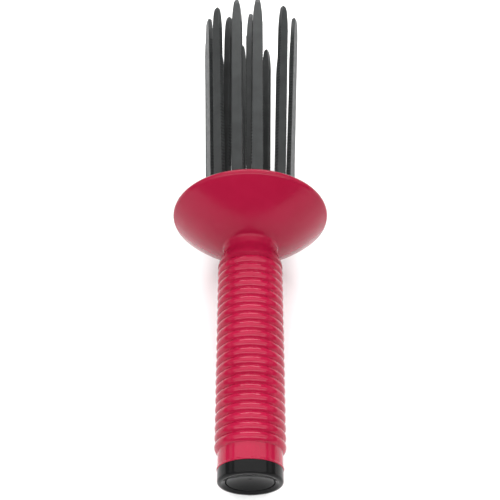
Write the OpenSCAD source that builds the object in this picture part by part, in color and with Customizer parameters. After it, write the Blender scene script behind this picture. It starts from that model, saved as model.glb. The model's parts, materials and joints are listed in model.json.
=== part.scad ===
// Claw comb with a ribbed round grip, a saucer guard and a ring of long tines.
// A press button in the butt end pushes a rod, and the rod's spool rocks the outer tines open.
//
// Sizes are in millimetres. Every piece is drawn upright first: +Z runs along the tool from the
// butt to the tine tips, -Y is the side that ends up on top, and z = 0 is the crest of the rib
// next to the butt. lay() then puts the piece into the row frame: the tool lies on the floor
// z = 0, resting on the guard and on the end ring, and its tines point along +Y.

/* [Grip] */
// Radius over the crests of the ribs
grip_r = 15; // [14.5:0.1:16]
// Number of round ribs
rib_count = 21; // [15:1:23]
// Distance from one rib crest to the next
rib_pitch = 4.24; // [3.9:0.02:4.5]
// Radius of the rounded back of a rib
rib_round = 2.6; // [2.4:0.1:3]
// Radius of the smooth collar at the butt
collar_r = 13.57; // [13.5:0.01:13.8]
// Length of the collar, from the last rib crest to its end
collar_len = 9.8; // [9:0.1:12]

/* [Guard] */
// Radius of the saucer guard
guard_r = 36.9; // [36.5:0.1:38]
// Radius of the rounded rim of the saucer
guard_edge_r = 2; // [1.5:0.1:2.1]
// Wall of the saucer
guard_wall = 2.2; // [2:0.1:2.4]
// Distance from the last rib crest to the plane of the saucer's rim
guard_z = 116.8; // [115:0.1:120]
// Slope of the saucer's back where it meets the rim, in degrees
back_slope = 45; // [44:0.1:46]
// Slope of the saucer's rim towards the tines, in degrees
front_slope = 36.6; // [35:0.1:38]
// Radius of the smooth neck between the grip and the saucer
neck_r = 12.6; // [12.2:0.1:13]

/* [Tines] */
// Width of a tine's outer face next to the guard
tine_w = 5.3; // [4.8:0.1:5.6]
// Width of a tine's outer face where its tip begins
tine_w_end = 4.9; // [4.4:0.1:5.2]
// Depth of a tine, measured from the ring's outside inwards
tine_d = 2.3; // [2.2:0.1:2.8]
// Distance from the last rib crest to the tips
tip_z = 242.5; // [220:0.5:250]
// Length of the bullet-shaped tip
tip_len = 15; // [10:1:20]
// Outward lean of the outer tines at rest, in degrees
splay = 1.9; // [1.5:0.1:2.5]
// Radius of the circle that the tine pivots stand on
pivot_r = 20.2; // [20:0.1:20.5]
// Radius of the steel pivot pins
pin_r = 0.8; // [0.7:0.05:0.9]

/* [Button] */
// Radius of the press button
button_r = 10; // [9.5:0.1:10.1]
// Travel of the press button
stroke = 3.2; // [2.5:0.1:3.2]
// Radius of the push rod
rod_r = 3; // [2.5:0.1:3]

/* [Hidden] */
$fn = 96;

crimson = [0.64, 0.10, 0.21];
black = [0.05, 0.05, 0.05];
charcoal = [0.20, 0.21, 0.21];
steel = [0.72, 0.73, 0.75];
natural = [0.86, 0.85, 0.80];

// Clearance of a sliding rod, of a press fit, and between pieces that move apart
slide_gap = 0.08;
seat_gap = 0.04;
free_gap = 0.3;

// Grip
grip_len = (rib_count - 1) * rib_pitch;
sleeve_end = grip_len + rib_pitch / 2;
grip_bore = 10.9;
core_r = 13.6;
bead_r = 0.45;
spigot_r = 12.2;
spigot_len = 6.8;

// End ring and button
ring_end = -collar_len - 5.7;
ring_r = 13.6;
ring_round = 1.2;
ring_bore = button_r + free_gap;
button_face = ring_end + 0.8;
flange_r = 11;
flange_z = -collar_len + 1.2;
flange_t = 1.9;
stem_r = 4.6;
stem_end = 3;

// Guard: a swelling back, a rounded rim, a cone in front of it and a flat dome over the middle
rim_r = guard_r - guard_edge_r;
rim = [rim_r, guard_z];
back_arc_r = 80;
back_centre = rim + (back_arc_r - guard_edge_r) * [-sin(back_slope), cos(back_slope)];
core_z = guard_z - 0.5;
dome_r = 72.3;
dome_z = core_z + 14;
front_r = 28;
neck_end = core_z - 12.2;
neck_shoulder = sleeve_end + 1.2;
fillet_r = 1.5;
tenon_r = grip_bore - seat_gap;
tenon_len = 16;
bush_r = 7;

// Outer ring: how far each tine stands turned from even spacing, and its extra lean, in degrees
outer_count = 12;
tine_shift = [8, 0, -2, -6, -2, -8, 0, 0, 0, 0, 0, 0];
tine_lean = [0, 0.4, 0, 0, 0.8, 0.8, 0, 0, 0, 0, 0, 0];

// Tine pivots, levers and the spool that drives them
pivot_z = core_z + 2;
lever_end_r = 7;
lever_len = pivot_r - lever_end_r;
lever_back = asin(stroke / 2 / lever_len);
ball_r = 1.3;
ball_gap = 0.25;
groove_z = pivot_z - stroke / 2;
groove_half = ball_r + ball_gap;
spool_r = 9;
spool_core_r = 5;
spool_wall = 1.5;
spool_back = groove_z - groove_half - spool_wall;
spool_front = groove_z + groove_half + spool_wall;
spool_boss = 3.6;
rod_end = spool_front - 2.6;
rod_start = -4;
lever_w = 2.2;
tongue_w = 3.2;
eye_r = 2.4;
slot_w = 3.8;
blade_start = 11.6;
tine_len = (tip_z - pivot_z) / cos(splay);
tip_round = 0.5;

// Hub and cover
hub_r = 25.5;
hub_in_r = 11.2;
hub_back = core_z - 4.7;
hub_floor = core_z - 3;
hub_front = core_z + 6.2;
screw_circle_r = 24;
screw_count = 3;
screw_r = 1.2;
cover_seat = core_z + 7.4;

// Fixed inner tines: [angle from the top, radius, outward lean in degrees]
inner_tines = [[-46, 16, 0], [1, 13.2, 0], [146, 13, 1.7], [-157, 11.8, 0]];
inner_w = 4.3;
inner_d = 2.3;
inner_boss_r = 3.2;

// Return spring, between the button's flange and the rear bush
spring_r = 6.3;
spring_wire_r = 0.5;
spring_turns = 6;
spring_from = flange_z + flange_t + 0.1;
rear_bush_z = 14;
rear_bush_len = 6;
spring_to = rear_bush_z - 0.1;

// Lying pose: the tilt at which the guard's edge and the end ring's edge both touch the floor
rest_run = guard_z - (ring_end + ring_round);
rest_rise = rim_r - (ring_r - ring_round);
tilt = atan(rest_rise / rest_run)
    + asin((guard_edge_r - ring_round) / sqrt(rest_run ^ 2 + rest_rise ^ 2));
lie_z = rim_r * cos(tilt) + guard_edge_r - guard_z * sin(tilt);
butt_y = (ring_end + ring_round) * cos(tilt) - (ring_r - ring_round) * sin(tilt) - ring_round;
tip_r = pivot_r + tine_len * sin(splay);
tip_y = tip_z * cos(tilt) - tip_r * cos(outer_angle(9)) * sin(tilt);
lie_y = -(butt_y + tip_y) / 2;

// Puts a piece drawn along +Z into the row frame
module lay() {
    translate([0, lie_y, lie_z]) rotate([tilt - 90, 0, 0]) children();
}

// Puts children at an angle from the top: their +Y then points away from the tool's axis
module around(angle, radius = 0, z = 0) {
    rotate([0, 0, angle + 180]) translate([0, radius, z]) children();
}

// Round bar or bore along +Z
module bar(r, z0, z1) {
    translate([0, 0, z0]) cylinder(r = r, h = z1 - z0);
}

// Rectangle in the turning plane: x is the radius and y runs along the tool
module band(r0, r1, z0, z1) {
    translate([r0, z0]) square([r1 - r0, z1 - z0]);
}

// Even spacing, except that a few tines stand turned from it (see tine_shift)
function outer_angle(i) = (i - 3.5) * 360 / outer_count + tine_shift[i - 1];

// ---------------------------------------------------------------- grip

module grip_profile() {
    difference() {
        union() {
            band(grip_bore, core_r, -rib_pitch / 2, sleeve_end);
            band(grip_bore, collar_r, -collar_len, 0);
            translate([collar_r - bead_r + 0.3, -collar_len + bead_r]) circle(bead_r, $fn = 32);
            for (i = [0 : rib_count - 1])
                translate([grip_r - rib_round, i * rib_pitch]) circle(rib_round);
        }
        band(0, grip_bore, -collar_len - 1, sleeve_end + 5);
        band(0, grip_r + 1, sleeve_end, sleeve_end + 5);
        band(0, spigot_r + seat_gap, -collar_len - 1, -collar_len + spigot_len + seat_gap);
    }
}

module grip_sleeve() {
    color(crimson) lay() rotate_extrude() grip_profile();
}

module end_ring_profile() {
    difference() {
        union() {
            band(ring_bore, ring_r - ring_round, ring_end, -collar_len);
            band(ring_bore, ring_r, ring_end + ring_round, -collar_len);
            translate([ring_r - ring_round, ring_end + ring_round]) circle(ring_round, $fn = 48);
            band(ring_bore, spigot_r, -collar_len - 1, -collar_len + spigot_len);
        }
        band(0, flange_r + free_gap, flange_z - 0.1, stem_end);
        polygon([[0, ring_end - 1], [ring_bore + 1.6, ring_end - 1], [ring_bore + 1.6, ring_end],
            [ring_bore, button_face], [0, button_face]]);
    }
}

module end_ring() {
    color(black) lay() rotate_extrude() end_ring_profile();
}

module rear_bush() {
    color(natural) lay() difference() {
        bar(grip_bore - seat_gap, rear_bush_z, rear_bush_z + rear_bush_len);
        bar(rod_r + slide_gap, rear_bush_z - 1, rear_bush_z + rear_bush_len + 1);
    }
}

// One point of the wire's surface: a is the angle along the coil, b the angle round the wire
function wire_point(a, b, rise) = [
    (spring_r + spring_wire_r * cos(b)) * cos(a),
    (spring_r + spring_wire_r * cos(b)) * sin(a),
    spring_from + spring_wire_r + rise * a + spring_wire_r * sin(b)
];

module return_spring() {
    sides = 8;
    per_turn = 20;
    rings = spring_turns * per_turn + 1;
    rise = (spring_to - spring_from - 2 * spring_wire_r) / (spring_turns * 360);
    points = [for (i = [0 : rings - 1], j = [0 : sides - 1])
        wire_point(i * 360 / per_turn, j * 360 / sides, rise)];
    skin = [for (i = [0 : rings - 2], j = [0 : sides - 1])
        [i * sides + j, (i + 1) * sides + j, (i + 1) * sides + (j + 1) % sides, i * sides + (j + 1) % sides]];
    first = [for (j = [0 : sides - 1]) j];
    last = [for (j = [sides - 1 : -1 : 0]) (rings - 1) * sides + j];
    color(steel) lay() polyhedron(points = points, faces = concat(skin, [first, last]), convexity = 10);
}

// ---------------------------------------------------------------- guard

// Half of the saucer's section, shrunk by a wall
module saucer_profile(wall) {
    edge = guard_edge_r - wall;
    back = rim + edge * [sin(back_slope), -cos(back_slope)];
    front = rim + edge * [sin(front_slope), cos(front_slope)];
    top = [0, front[1] + front[0] * tan(front_slope)];
    beyond = [rim_r + 5, front[1] + (front[0] - rim_r - 5) * tan(front_slope)];
    intersection() {
        polygon(edge > 0 ? [[0, 0], [back[0], 0], back, rim, front, top] : [[0, 0], [beyond[0], 0], beyond, top]);
        translate(back_centre) circle(back_arc_r - wall, $fn = 240);
        translate([0, dome_z - dome_r]) circle(dome_r - wall, $fn = 180);
    }
    if (edge > 0) translate(rim) circle(edge, $fn = 64);
}

// Hollow rounding where the neck runs into the saucer's back
module neck_fillet() {
    reach = [neck_r + fillet_r - back_centre[0], back_arc_r + fillet_r];
    drop = sqrt(reach[1] ^ 2 - reach[0] ^ 2);
    centre = back_centre + [reach[0], -drop];
    difference() {
        polygon([[neck_r - 1, centre[1]], centre, back_centre + back_arc_r / reach[1] * [reach[0], -drop],
            [neck_r - 1, centre[1] + fillet_r + 1]]);
        translate(centre) circle(fillet_r, $fn = 64);
    }
}

// The neck's outline eases from the last rib's height down to the neck and up into the saucer
module neck_profile() {
    steps = 10;
    shoulder_len = 8;
    ease = [for (i = [0 : steps])
        [neck_r + (grip_r - 0.1 - neck_r) * (1 + cos(180 * i / steps)) / 2,
            neck_shoulder + shoulder_len * i / steps]];
    polygon(concat([[bush_r, sleeve_end], [core_r + 0.3, sleeve_end]], ease,
        [[neck_r, neck_end + 0.5], [bush_r, neck_end + 0.5]]));
    neck_fillet();
}

module guard_profile() {
    seat_r = 20;
    difference() {
        union() {
            difference() {
                saucer_profile(0);
                difference() {
                    saucer_profile(guard_wall);
                    band(seat_r, seat_r + 3, neck_end, hub_back);
                    band(0, neck_r, 0, neck_end + 1.4);
                }
            }
            neck_profile();
            band(bush_r, tenon_r, sleeve_end - tenon_len, sleeve_end + 1);
        }
        band(0, bush_r, sleeve_end - tenon_len - 1, core_z);
        band(0, front_r, core_z + 2, dome_z + 1);
    }
}

module guard_dish() {
    color(crimson) lay() difference() {
        union() {
            rotate_extrude() guard_profile();
            for (i = [0 : screw_count - 1])
                around(screw_angle(i), screw_circle_r, hub_back - 4.4) cylinder(r = 2.4, h = 4.4);
        }
        for (i = [0 : screw_count - 1])
            around(screw_angle(i), screw_circle_r, hub_back - 1.4) cylinder(r = screw_r, h = 4, $fn = 32);
    }
}

module front_bush() {
    color(natural) lay() difference() {
        bar(bush_r - seat_gap, neck_end - 12, neck_end);
        bar(rod_r + slide_gap, neck_end - 13, neck_end + 1);
    }
}

// ---------------------------------------------------------------- hub and cover

function screw_angle(i) = 30 + i * 360 / screw_count;

// Length of a pivot pin's seat, and the narrower way in that the pin snaps through
pin_len = 7.4;
snap_w = 1.7 * pin_r;

module tine_hub() {
    color(charcoal) lay() difference() {
        bar(hub_r, hub_back, hub_front);
        bar(hub_in_r, hub_back - 1, hub_front + 1);
        for (i = [1 : outer_count])
            around(outer_angle(i)) {
                translate([-slot_w / 2, hub_in_r - 2, hub_floor])
                    cube([slot_w, hub_r, hub_front - hub_floor + 1]);
                translate([-pin_len / 2, pivot_r, pivot_z]) rotate([0, 90, 0])
                    cylinder(r = pin_r, h = pin_len, $fn = 32);
                translate([-pin_len / 2, pivot_r - snap_w / 2, pivot_z])
                    cube([pin_len, snap_w, hub_front - pivot_z + 1]);
            }
        for (i = [0 : screw_count - 1])
            around(screw_angle(i), screw_circle_r, hub_back - 1)
                cylinder(r = screw_r + 0.15, h = hub_front - hub_back + 2, $fn = 32);
    }
}

module pivot_pins() {
    color(steel) lay() for (i = [1 : outer_count])
        around(outer_angle(i), pivot_r, pivot_z) rotate([0, 90, 0])
            cylinder(r = pin_r - 0.01, h = pin_len - 0.2, center = true, $fn = 32);
}

module cover_profile() {
    intersection() {
        difference() {
            saucer_profile(0);
            saucer_profile(guard_wall);
        }
        band(0, front_r - 0.1, core_z + 2, dome_z + 1);
    }
}

// Long slot in the cover for a tine that rocks outwards
module cover_slot() {
    slot_in = pivot_r - 1.7;
    slot_out = pivot_r + 5.3;
    translate([-slot_w / 2, slot_in, core_z]) cube([slot_w, slot_out - slot_in, 20]);
}

module front_cover() {
    color(crimson) lay() difference() {
        union() {
            rotate_extrude() cover_profile();
            for (t = inner_tines)
                around(t[0], t[1], cover_seat) cylinder(r = inner_boss_r, h = core_z + 10.6 - cover_seat);
            for (i = [0 : screw_count - 1])
                around(screw_angle(i), screw_circle_r, hub_front + 0.02)
                    cylinder(r = 2.6, h = core_z + 8.6 - hub_front);
        }
        for (i = [1 : outer_count]) around(outer_angle(i)) cover_slot();
        for (t = inner_tines) inner_place(t) inner_foot(seat_gap);
        for (i = [0 : screw_count - 1]) {
            around(screw_angle(i), screw_circle_r, hub_front - 1) cylinder(r = screw_r + 0.15, h = 9, $fn = 32);
            around(screw_angle(i), screw_circle_r, core_z + 8.4) cylinder(r = 2.4, h = 5, $fn = 48);
        }
    }
}

module cover_screws() {
    color(steel) lay() for (i = [0 : screw_count - 1])
        around(screw_angle(i), screw_circle_r) {
            bar(screw_r - 0.01, hub_back - 1.3, core_z + 8.6, $fn = 32);
            difference() {
                bar(2.2, core_z + 8.42, core_z + 9.8, $fn = 48);
                for (a = [0, 90]) rotate([0, 0, a])
                    translate([-1.5, -0.25, core_z + 9.2]) cube([3, 0.5, 1]);
            }
        }
}

// ---------------------------------------------------------------- tines

// Outline of a blade seen on its outer face: straight sides and a bullet tip
function blade_outline(w0, w1, z0, z1, nose) = let (steps = 10, body = z1 - nose)
    concat([[-w0 / 2, z0], [w0 / 2, z0]],
        [for (i = [0 : steps]) let (u = i / steps)
            [tip_round + (w1 / 2 - tip_round) * sqrt(1 - u ^ 2) * (1 - 0.25 * u), body + nose * u]],
        [for (i = [steps : -1 : 0]) let (u = i / steps)
            [-tip_round - (w1 / 2 - tip_round) * sqrt(1 - u ^ 2) * (1 - 0.25 * u), body + nose * u]]);

// Side outline: full depth nearly to the end, then both faces round in to the tip
function side_outline(d, z0, z1, nose) =
    [[-d / 2, z0], [d / 2, z0], [d / 2, z1 - nose * 0.25], [d / 2 - 0.3, z1 - nose * 0.08],
        [d / 2 - 0.9, z1], [-d / 2 + 0.4, z1], [-d / 2, z1 - 1]];

// Straight blade along +Z, its outer face towards +Y
module blade(w0, w1, d, z0, z1, nose) {
    intersection() {
        rotate([90, 0, 0]) linear_extrude(height = 4 * d, center = true)
            polygon(blade_outline(w0, w1, z0, z1, nose));
        rotate([90, 0, 90]) linear_extrude(height = 4 * w0, center = true)
            polygon(side_outline(d, z0, z1, nose));
    }
}

// One rocking tine, drawn about its pivot: blade forwards, lever inwards with a round end
module rocking_tine(lean) {
    difference() {
        union() {
            rotate([-lean, 0, 0]) {
                blade(tine_w, tine_w_end, tine_d, blade_start, tine_len, tip_len);
                translate([-tongue_w / 2, -tine_d / 2, 0]) cube([tongue_w, tine_d, blade_start + 1]);
            }
            rotate([0, 90, 0]) cylinder(r = eye_r, h = tongue_w, center = true);
            rotate([0, 0, 180]) rotate([-lever_back, 0, 0]) lever();
        }
        rotate([0, 90, 0]) cylinder(r = pin_r + slide_gap - 0.01, h = 2 * tongue_w, center = true, $fn = 32);
    }
}

// Lever along +Y with a round end, at the height that the spool holds at rest
module lever() {
    translate([-lever_w / 2, 0, -1]) cube([lever_w, lever_len, 2]);
    translate([0, lever_len, 0]) rotate([0, 90, 0])
        cylinder(r = ball_r, h = lever_w, center = true, $fn = 48);
}

module outer_tine(i) {
    color(charcoal) lay() around(outer_angle(i), pivot_r, pivot_z)
        rocking_tine(splay + tine_lean[i - 1]);
}

module inner_place(t) {
    around(t[0], t[1], cover_seat) rotate([-t[2], 0, 0]) children();
}

// The part of an inner tine that sits in its boss
module inner_foot(gap) {
    translate([-inner_w / 2 - gap, -inner_d / 2 - gap, -gap])
        cube([inner_w + 2 * gap, inner_d + 2 * gap, 20]);
}

module inner_tine(i) {
    t = inner_tines[i - 1];
    color(charcoal) lay() inner_place(t)
        blade(inner_w, inner_w, inner_d, 0, (tip_z - cover_seat) / cos(t[2]), tip_len);
}

// ---------------------------------------------------------------- button, rod and spool

module button_cap() {
    dish_r = 30;
    dish_depth = 1.7;
    color(black) lay() difference() {
        union() {
            rotate_extrude() {
                band(0, button_r - 0.6, button_face, flange_z);
                band(0, button_r, button_face + 0.6, flange_z + 0.5);
                translate([button_r - 0.6, button_face + 0.6]) circle(0.6, $fn = 32);
                band(0, flange_r, flange_z, flange_z + flange_t);
                band(0, stem_r, flange_z + 1, stem_end);
            }
        }
        bar(rod_r, rod_start, stem_end + 1);
        translate([0, 0, button_face - dish_r + dish_depth]) sphere(r = dish_r, $fn = 128);
    }
}

module push_rod() {
    color(steel) lay() difference() {
        bar(rod_r - 0.01, rod_start, rod_end);
        bar(screw_r, rod_end - 9, rod_end + 1, $fn = 32);
    }
}

module spool() {
    color(natural) lay() difference() {
        union() {
            bar(spool_r, spool_back, spool_back + spool_wall);
            bar(spool_core_r, spool_back - spool_boss, spool_front);
            bar(spool_r, spool_front - spool_wall, spool_front);
        }
        bar(rod_r, spool_back - spool_boss - 1, rod_end);
        bar(screw_r + 0.1, spool_back, spool_front + 1, $fn = 32);
    }
}

module spool_screw() {
    head_r = 2.6;
    head_t = 1.4;
    color(steel) lay() difference() {
        union() {
            bar(screw_r - 0.01, rod_end - 8, spool_front + 0.5, $fn = 32);
            bar(head_r, spool_front + 0.01, spool_front + head_t, $fn = 48);
        }
        translate([-2, -0.3, spool_front + head_t - 0.6]) cube([4, 0.6, 1]);
    }
}

grip_sleeve();
end_ring();
rear_bush();
return_spring();
front_bush();
guard_dish();
tine_hub();
pivot_pins();
front_cover();
cover_screws();
inner_tine(1);  // inner_tine_1
inner_tine(2);  // inner_tine_2
inner_tine(3);  // inner_tine_3
inner_tine(4);  // inner_tine_4
button_cap();
push_rod();
spool();
spool_screw();
outer_tine(1);  // outer_tine_01
outer_tine(2);  // outer_tine_02
outer_tine(3);  // outer_tine_03
outer_tine(4);  // outer_tine_04
outer_tine(5);  // outer_tine_05
outer_tine(6);  // outer_tine_06
outer_tine(7);  // outer_tine_07
outer_tine(8);  // outer_tine_08
outer_tine(9);  // outer_tine_09
outer_tine(10);  // outer_tine_10
outer_tine(11);  // outer_tine_11
outer_tine(12);  // outer_tine_12
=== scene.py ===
"""Looks of the claw comb: crimson grip and guard, black end ring and button, serrated charcoal tines."""
import json
import math

import bmesh
import bpy
from mathutils import Matrix, Vector

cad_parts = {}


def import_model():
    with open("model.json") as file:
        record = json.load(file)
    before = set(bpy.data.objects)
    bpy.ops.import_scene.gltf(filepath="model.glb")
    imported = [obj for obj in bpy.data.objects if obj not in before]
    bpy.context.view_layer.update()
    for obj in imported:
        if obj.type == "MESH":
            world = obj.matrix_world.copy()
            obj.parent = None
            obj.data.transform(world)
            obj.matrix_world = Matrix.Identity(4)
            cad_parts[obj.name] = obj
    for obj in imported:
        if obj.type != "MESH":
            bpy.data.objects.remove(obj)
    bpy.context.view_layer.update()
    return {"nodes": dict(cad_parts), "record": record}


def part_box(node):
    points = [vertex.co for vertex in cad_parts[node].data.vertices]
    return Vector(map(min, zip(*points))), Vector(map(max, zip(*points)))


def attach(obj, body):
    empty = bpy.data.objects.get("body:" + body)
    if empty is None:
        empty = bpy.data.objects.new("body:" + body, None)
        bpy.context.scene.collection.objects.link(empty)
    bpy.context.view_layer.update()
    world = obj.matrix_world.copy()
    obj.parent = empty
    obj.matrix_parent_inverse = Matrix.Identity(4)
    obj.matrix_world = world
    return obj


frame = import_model()

MM = 0.001

# Driving sizes of the part, in millimetres. Stations run along the tool from the last rib's crest.
COLLAR_LEN = 9.8
BEAD_TOP_R = 13.87
RIM_R = 34.9
RIM_ROUND = 2.0
RIM_Z = 116.8
RING_R = 13.6
RING_ROUND = 1.2
RING_END = -15.5
PIVOT_R = 20.2
PIVOT_Z = RIM_Z + 1.5
TIP_Z = 242.5
TIP_LEN = 15.0
# Widths at foot and tip, and the depth of a blade
OUTER_W = (5.3, 4.9)
OUTER_D = 2.3
SPLAY = 1.9
OUTER_COUNT = 12
TINE_STEP = 360 / OUTER_COUNT
FIRST_TINE = -2.5 * TINE_STEP
# By how many degrees each outer tine stands off its even place round the ring, and leans out more
TINE_SHIFT = (8, 0, -2, -6, -2, -8, 0, 0, 0, 0, 0, 0)
TINE_LEAN = (0, 0.4, 0, 0, 0.8, 0.8, 0, 0, 0, 0, 0, 0)
# Fixed inner tines: angle from the top, radius, lean
INNER_TINES = ((-46, 16, 0), (1, 13.2, 0), (146, 13, 1.7), (-157, 11.8, 0))
INNER_SEAT_Z = PIVOT_Z + 5.4
INNER_W = (4.3, 4.3)
INNER_D = 2.3

# Ridges down the blades' edges
TOOTH_PITCH = 1.9
TOOTH_HALF = 0.55
TOOTH_PROUD = 0.34
TOOTH_SUNK = 0.2
TOOTH_INSET = (0.15, 0.1)
FIRST_TOOTH = 15.6
LAST_TOOTH_GAP = TIP_LEN + 1

# Lying pose, worked out from the two rims that touch the floor
REST_RUN = RIM_Z - (RING_END + RING_ROUND)
REST_RISE = RIM_R - (RING_R - RING_ROUND)
TILT = math.atan(REST_RISE / REST_RUN) + math.asin(
    (RIM_ROUND - RING_ROUND) / math.hypot(REST_RUN, REST_RISE))
LIE_Z = RIM_R * math.cos(TILT) + RIM_ROUND - RIM_Z * math.sin(TILT)


def butt_y():
    """Where the tool's zero station lies along Y, from the grip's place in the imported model."""
    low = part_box("grip_sleeve")[0].y / MM
    return low + COLLAR_LEN * math.cos(TILT) + BEAD_TOP_R * math.sin(TILT)


LIE_Y = butt_y()
# Tool frame to row frame: tool Z is the axis, tool Y points down and away from the top side
TOOL = (Matrix.Translation(Vector((0, LIE_Y, LIE_Z)) * MM)
        @ Matrix.Rotation(TILT - math.pi / 2, 4, "X")
        @ Matrix.Scale(MM, 4))


# ---------------------------------------------------------------- materials

class Shader:
    """One procedural material: the principled shader plus small helpers to wire nodes."""

    def __init__(self, name, color, rough, **sockets):
        self.material = bpy.data.materials.new(name)
        self.material.use_nodes = True
        self.tree = self.material.node_tree
        self.bsdf = self.tree.nodes["Principled BSDF"]
        self.bsdf.inputs["Base Color"].default_value = (*color, 1)
        self.bsdf.inputs["Roughness"].default_value = rough
        for key, value in sockets.items():
            self.bsdf.inputs[key.replace("_", " ")].default_value = value
        self.bumps = []
        self.edge = None

    def node(self, kind, **values):
        made = self.tree.nodes.new(kind)
        for key, value in values.items():
            made.inputs[key].default_value = value
        return made

    def wire(self, out, into):
        self.tree.links.new(out, into)

    def noise(self, scale, detail=3.0):
        place = self.node("ShaderNodeTexCoord")
        made = self.node("ShaderNodeTexNoise", Scale=scale, Detail=detail)
        self.wire(place.outputs["Object"], made.inputs["Vector"])
        return made.outputs["Fac"]

    def soften_edges(self, radius):
        """Sharp moulded edges catch light as if rounded, by a radius in metres."""
        self.edge = self.node("ShaderNodeBevel", Radius=radius)
        self.edge.samples = 6

    def bump(self, height, distance):
        """Surface relief of a given depth in metres, stacked on the relief before it."""
        made = self.node("ShaderNodeBump", Distance=distance, Strength=1.0)
        self.wire(height, made.inputs["Height"])
        if self.bumps:
            self.wire(self.bumps[-1].outputs["Normal"], made.inputs["Normal"])
        elif self.edge:
            self.wire(self.edge.outputs["Normal"], made.inputs["Normal"])
        self.wire(made.outputs["Normal"], self.bsdf.inputs["Normal"])
        self.bumps.append(made)

    def vary_roughness(self, factor, low, high):
        """Wear: patches a little duller or shinier than the rest."""
        ramp = self.node("ShaderNodeMapRange")
        ramp.inputs["From Min"].default_value = 0.3
        ramp.inputs["From Max"].default_value = 0.7
        ramp.inputs["To Min"].default_value = low
        ramp.inputs["To Max"].default_value = high
        self.wire(factor, ramp.inputs["Value"])
        self.wire(ramp.outputs["Result"], self.bsdf.inputs["Roughness"])

    def vary_color(self, factor, dark, light):
        """Slow drift of colour through the moulding."""
        ramp = self.node("ShaderNodeValToRGB")
        ramp.color_ramp.elements[0].position = 0.35
        ramp.color_ramp.elements[0].color = (*dark, 1)
        ramp.color_ramp.elements[1].position = 0.65
        ramp.color_ramp.elements[1].color = (*light, 1)
        self.wire(factor, ramp.inputs["Fac"])
        self.wire(ramp.outputs["Color"], self.bsdf.inputs["Base Color"])


def glossy_plastic(name, dark, light, rough, ior):
    """Moulded plastic with a faint sink wave and a fine grain."""
    made = Shader(name, light, rough, IOR=ior)
    made.soften_edges(0.00025)
    made.vary_color(made.noise(60), dark, light)
    made.vary_roughness(made.noise(240), rough * 0.8, rough * 1.2)
    made.bump(made.noise(90, detail=1.0), 0.00002)
    made.bump(made.noise(1500), 0.000004)
    return made.material


def satin_plastic(name, dark, light, rough):
    """Duller plastic with a fine spark-eroded grain."""
    made = Shader(name, light, rough, IOR=1.3)
    made.soften_edges(0.0003)
    made.vary_color(made.noise(120), dark, light)
    made.vary_roughness(made.noise(500), rough * 0.85, rough * 1.15)
    made.bump(made.noise(2500), 0.00001)
    return made.material


def drawn_steel(name):
    """Bare steel with fine drawing marks."""
    made = Shader(name, (0.6, 0.6, 0.62), 0.25, Metallic=1.0)
    made.vary_roughness(made.noise(800), 0.2, 0.34)
    made.bump(made.noise(3000), 0.000004)
    return made.material


# Names, then darkest and lightest colour, roughness and, for the glossy ones, refractive index
CRIMSON = glossy_plastic("crimson_plastic", (0.28, 0.0035, 0.028), (0.31, 0.0045, 0.033), 0.12, 1.3)
# The guard's crimson is the grip's plastic made darker: painted shade for the saucer's back, which faces
# away from the lights
GUARD_SHADED = glossy_plastic("guard_plastic_painted_shade", (0.235, 0.0035, 0.024), (0.25, 0.004, 0.027), 0.2, 1.25)
BLACK = glossy_plastic("black_plastic", (0.005, 0.005, 0.0052), (0.007, 0.007, 0.0072), 0.12, 1.18)
CHARCOAL = satin_plastic("charcoal_plastic", (0.019, 0.0205, 0.0205), (0.026, 0.028, 0.028), 0.38)
NATURAL = satin_plastic("natural_plastic", (0.62, 0.60, 0.54), (0.68, 0.66, 0.60), 0.4)
STEEL = drawn_steel("drawn_steel")
FINISH = {"crimson_plastic": CRIMSON, "black_plastic": BLACK, "charcoal_plastic": CHARCOAL,
          "natural_plastic": NATURAL, "steel": STEEL}
# The saucer is moulded a little less glossy than the grip; its crimson is darker than the grip's, as
# painted shade on its back, which faces away from the lights
OWN_FINISH = {"guard_dish": GUARD_SHADED}


# ---------------------------------------------------------------- teeth on the tines

def tooth_row(width, depth, length):
    """Small ridges down both long edges of a blade, in the blade's own millimetres."""
    foot_w, tip_w = width
    verts, faces = [], []
    z = FIRST_TOOTH
    while z < length - LAST_TOOTH_GAP:
        side = (foot_w + (tip_w - foot_w) * z / length) / 2
        for sign in (-1, 1):
            base = len(verts)
            inner, outer = sign * (side - TOOTH_SUNK), sign * (side + TOOTH_PROUD)
            for y in (-depth / 2 + TOOTH_INSET[0], depth / 2 - TOOTH_INSET[1]):
                verts += [(inner, y, z - TOOTH_HALF), (outer, y, z), (inner, y, z + TOOTH_HALF)]
            faces += [(base, base + 1, base + 2), (base + 3, base + 5, base + 4),
                      (base, base + 3, base + 4, base + 1), (base + 1, base + 4, base + 5, base + 2),
                      (base, base + 2, base + 5, base + 3)]
        z += TOOTH_PITCH
    return verts, faces


def teeth(node, body, place, width, depth, length):
    """The ridges of one tine. They stand proud of the tine's edges and move with it."""
    verts, faces = tooth_row(width, depth, length)
    data = bpy.data.meshes.new(node + "_teeth")
    data.from_pydata([TOOL @ place @ Vector(v) for v in verts], [], faces)
    data.materials.append(CHARCOAL)
    piece = bpy.data.objects.new(node + "_teeth", data)
    bpy.context.collection.objects.link(piece)
    work = bmesh.new()
    work.from_mesh(data)
    bmesh.ops.recalc_face_normals(work, faces=work.faces)
    work.to_mesh(data)
    work.free()
    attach(piece, body)


def around(angle, radius, station, lean):
    """Place of a tine: angle from the top, radius and station of its foot, and its outward lean."""
    return (Matrix.Rotation(math.radians(angle + 180), 4, "Z")
            @ Matrix.Translation((0, radius, station))
            @ Matrix.Rotation(math.radians(-lean), 4, "X"))


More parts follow.
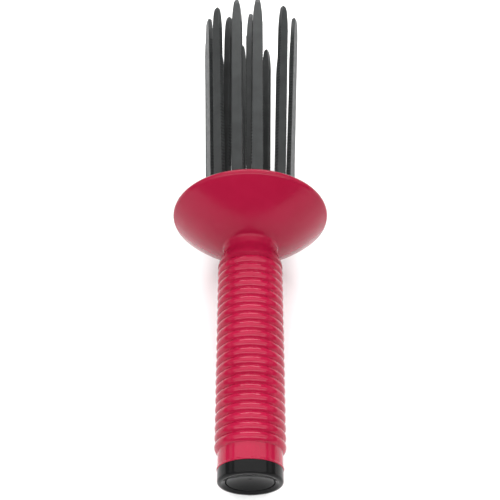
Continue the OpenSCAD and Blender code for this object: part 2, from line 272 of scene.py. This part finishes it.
def all_teeth():
    """Ridges on every tine: the rocking ones ride their rockers, the inner ones the grip."""
    for i in range(OUTER_COUNT):
        angle = FIRST_TINE + i * TINE_STEP + TINE_SHIFT[i]
        length = (TIP_Z - PIVOT_Z) / math.cos(math.radians(SPLAY))
        teeth(f"outer_tine_{i + 1:02d}", f"rocker_{i + 1:02d}",
              around(angle, PIVOT_R, PIVOT_Z, SPLAY + TINE_LEAN[i]), OUTER_W, OUTER_D, length)
    for i, (angle, radius, lean) in enumerate(INNER_TINES):
        length = (TIP_Z - INNER_SEAT_Z) / math.cos(math.radians(lean))
        teeth(f"inner_tine_{i + 1}", "grip", around(angle, radius, INNER_SEAT_Z, lean),
              INNER_W, INNER_D, length)


def dress_cad_nodes():
    """Every carried-over CAD node takes the finish of its record slot."""
    for part in frame["record"]["subparts"]:
        obj = frame["nodes"][part["node"]]
        obj.data.materials.clear()
        obj.data.materials.append(OWN_FINISH.get(part["node"], FINISH[part["material_slot"]]))
        obj.data.polygons.foreach_set("use_smooth", [True] * len(obj.data.polygons))
        obj.data.set_sharp_from_angle(angle=math.radians(30))


# ---------------------------------------------------------------- stage

def camera():
    """The view from above and behind the butt."""
    focal = 1.9542  # focal length in picture widths
    below = math.radians(56.5)  # between the line of sight and the tool's axis
    data = bpy.data.cameras.new("view")
    data.sensor_width = 36
    data.lens = focal * data.sensor_width
    data.shift_x = -0.0006
    cam = bpy.data.objects.new("view", data)
    bpy.context.collection.objects.link(cam)
    # In the camera's own axes: where the tool's zero station is, and which way its axis runs
    origin = Vector((0, -82.129, -404.619)) * MM
    along = Vector((0, math.sin(below), -math.cos(below)))
    up = Vector((0, math.cos(below), math.sin(below)))
    right = Vector((1, 0, 0))
    camera_frame = Matrix((right, along, up)).transposed().to_4x4()
    axis = (TOOL.to_3x3() @ Vector((0, 0, 1))).normalized()
    top = (TOOL.to_3x3() @ Vector((0, -1, 0))).normalized()
    row_frame = Matrix((right, axis, top)).transposed().to_4x4()
    turn = row_frame @ camera_frame.inverted()
    zero = TOOL @ Vector((0, 0, 0))
    cam.matrix_world = Matrix.Translation(zero) @ turn @ Matrix.Translation(-origin)
    bpy.context.scene.camera = cam


def softbox(name, place, target, width, power, height):
    """A flat soft light at a place, turned to its target. Metres and watts."""
    data = bpy.data.lights.new(name, "AREA")
    data.shape = "RECTANGLE"
    data.size = width
    data.size_y = height
    data.energy = power
    lamp = bpy.data.objects.new(name, data)
    bpy.context.collection.objects.link(lamp)
    lamp.location = place
    aim = Vector(target) - Vector(place)
    lamp.rotation_euler = aim.to_track_quat("-Z", "Y").to_euler()


def lights():
    """A tent of softboxes: wide ones above, before and behind, weak ones at the sides."""
    softbox("overhead", (0, 0.02, 1.1), (0, 0.02, 0), 3.0, 18, 0.8)
    softbox("front", (0, -0.72, 0.85), (0, 0, 0.02), 2.4, 16, 0.42)
    softbox("back", (0, 1.15, 1.0), (0, 0.1, 0.02), 1.4, 17, 0.4)
    softbox("left", (-1.2, 0, 0.5), (0, 0, 0.02), 1.2, 1, 0.3)
    softbox("right", (1.2, 0, 0.5), (0, 0, 0.02), 1.2, 1, 0.3)


def floor():
    """A plain pale sheet under the tool."""
    reach = 3
    data = bpy.data.meshes.new("floor")
    data.from_pydata([(-reach, -reach, 0), (reach, -reach, 0), (reach, reach, 0), (-reach, reach, 0)],
                     [], [(0, 1, 2, 3)])
    made = Shader("floor", (0.93, 0.93, 0.93), 0.95)
    made.bump(made.noise(400), 0.00001)
    data.materials.append(made.material)
    obj = bpy.data.objects.new("floor", data)
    bpy.context.collection.objects.link(obj)


def world(strength):
    """Even white light from all round."""
    scene_world = bpy.data.worlds.new("studio")
    scene_world.use_nodes = True
    back = scene_world.node_tree.nodes["Background"]
    back.inputs["Color"].default_value = (1, 1, 1, 1)
    back.inputs["Strength"].default_value = strength
    bpy.context.scene.world = scene_world


dress_cad_nodes()
all_teeth()
camera()
floor()
world(0.28)
lights()
bpy.context.scene.view_settings.view_transform = "Standard"
